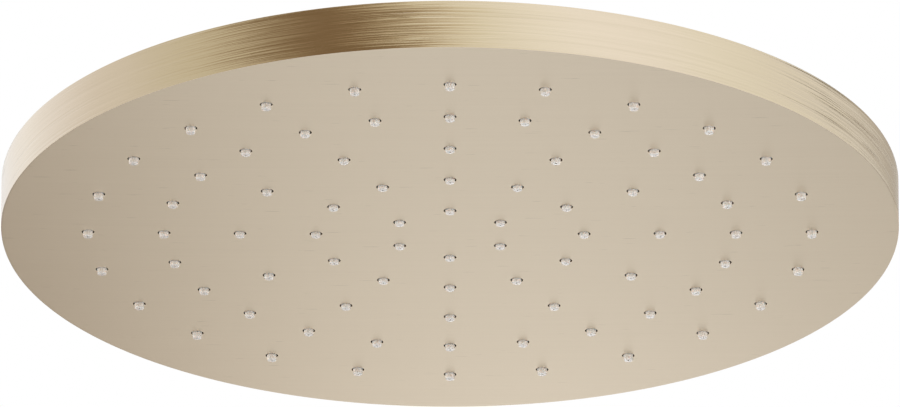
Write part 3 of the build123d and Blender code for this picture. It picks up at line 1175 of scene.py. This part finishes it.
def round_the_tent(tones):
    """Places along the turn, from tones by azimuth. Azimuth 0 is in front and 90 on the right."""
    stops = sorted((((azimuth - 90) / 360 + 0.5) % 1.0, tone) for azimuth, tone in tones.items())
    seam = tuple((first + last) / 2 for first, last in zip(stops[0][1], stops[-1][1]))
    return [(0.0, seam)] + stops + [(1.0, seam)]


# %% Tent wall
tent_radius = 2.2
tent_heights = (-1.2, 0.6, 3.0)
wave_level = 0.96
wave_length = 1.6
tent_wall, tree, glow = new_glow("tent_wall")
place = place_on(tree)
turn = tree.nodes.new("ShaderNodeTexGradient")
turn.gradient_type = "RADIAL"
tree.links.new(place, turn.inputs["Vector"])
sway_tones = {azimuth: (sway / widest_sway,) * 3 for azimuth, sway in tent_sway.items()}
sway = tones_along(tree, turn.outputs["Fac"], round_the_tent(sway_tones))
swayed = reckon(
    tree,
    parts_of(tree, place)["Z"],
    ("SUBTRACT", wave_level),
    ("MULTIPLY", math.tau / wave_length),
    ("SINE", 0),
    ("MULTIPLY", sway),
    ("MULTIPLY", widest_sway / 360),
    ("ADD", turn.outputs["Fac"]),
    ("FRACT", 0),
)
tree.links.new(tones_along(tree, swayed, round_the_tent(tent_tones)), glow.inputs["Color"])
tent = turned("light_tent", [(tent_radius, height) for height in tent_heights], steps=120)
off_camera(tent, tent_wall)
print("tent", len(tent.data.polygons), "faces")

# %% [markdown]
# ## The cards
# The face looks down and mirrors only what is behind and below the head. A card hangs there, bright
# in the middle and darker to the sides, with its bands slanted and its far end brighter, and gives
# the face its slow change of tone. Two dark strips stand behind the head on the right, one above
# and one below the level that the plain rim mirrors there. Only the steep sides of the deeper
# scores reach them, and so the scores show as thin dark lines.


# %% Card helpers
CARD_HALF = 0.5


def aim(azimuth, elevation, distance):
    """Place and turn of something that faces the head from a distance."""
    across = math.radians(azimuth)
    up = math.radians(elevation)
    middle = (
        distance * math.sin(across) * math.cos(up),
        -distance * math.cos(across) * math.cos(up),
        rim_bottom + distance * math.sin(up),
    )
    return middle, (math.radians(90) - up, 0, across)


def card(name, azimuth, elevation, distance, width, height, finish):
    """A plain card that faces the head."""
    middle, facing = aim(azimuth, elevation, distance)
    bpy.ops.object.select_all(action="DESELECT")
    bpy.ops.mesh.primitive_plane_add(size=2 * CARD_HALF, location=middle, rotation=facing)
    piece = bpy.context.object
    piece.name = piece.data.name = name
    piece.scale = (width, height, 1)
    off_camera(piece, finish)
    print("card", name)


# %% Under card
under_tones = [
    (0.0, (0.375, 0.33, 0.275)),
    (0.28, (0.555, 0.52, 0.48)),
    (0.38, (0.80, 0.79, 0.775)),
    (0.47, (1.0, 1.0, 1.0)),
    (0.55, (0.78, 0.76, 0.735)),
    (0.65, (0.295, 0.235, 0.183)),
    (0.76, (0.138, 0.099, 0.066)),
    (1.0, (0.095, 0.063, 0.039)),
]
under_slant = 0.25
under_strength = (0.087, 2.4)
under_wall, tree, glow = new_glow("under_card")
on_card = parts_of(tree, place_on(tree))
leaning = reckon(
    tree,
    on_card["Y"],
    ("MULTIPLY", under_slant),
    ("ADD", on_card["X"]),
    ("ADD", CARD_HALF),
)
brighter = span_of(tree, on_card["Y"], (-CARD_HALF, CARD_HALF), under_strength)
tree.links.new(tones_along(tree, leaning, under_tones), glow.inputs["Color"])
tree.links.new(brighter, glow.inputs["Strength"])
card(
    "under_card",
    azimuth=180,
    elevation=-math.degrees(view_rise),
    distance=0.5,
    width=1.0,
    height=1.0,
    finish=under_wall,
)

# %% Dark strips
dark_wall, tree, glow = new_glow("dark_strip")
glow.inputs["Color"].default_value = (0.10, 0.08, 0.05, 1)
for name, elevation in (("dark_strip_high", 39), ("dark_strip_low", 8)):
    card(
        name,
        azimuth=140,
        elevation=elevation,
        distance=2.0,
        width=1.8,
        height=0.6,
        finish=dark_wall,
    )

# %% [markdown]
# ## The lamps
# The metal needs no lamps, but the soft pieces do. Two lamps stand wide apart, so that each nozzle
# is light on both sides and a little darker in the middle, and low enough to shine into the holes.
# The right one is near, which makes the nozzles on the right a little lighter. A weak one in front
# fills in. Mirrored lamps would put hard spots on the metal, so mirrored rays don't see them.

# %% Lamps
for name, azimuth, elevation, distance, power, size in (
    ("left_lamp", -96, -10, 2.2, 30, 0.5),
    ("right_lamp", 48, -25, 0.9, 3.4, 0.3),
    ("front_lamp", 0, -30, 2.4, 2, 0.8),
):
    middle, facing = aim(azimuth, elevation, distance)
    bpy.ops.object.light_add(type="AREA", location=middle, rotation=facing)
    lamp = bpy.context.object
    lamp.name = name
    lamp.data.energy = power
    lamp.data.size = size
    lamp.visible_camera = False
    lamp.visible_glossy = False
    print(name, power, "W")

# %% [markdown]
# ## Last steps
# Colours are shown as they are written, so the view transform is Standard.

# %% View transform
bpy.context.scene.view_settings.view_transform = "Standard"
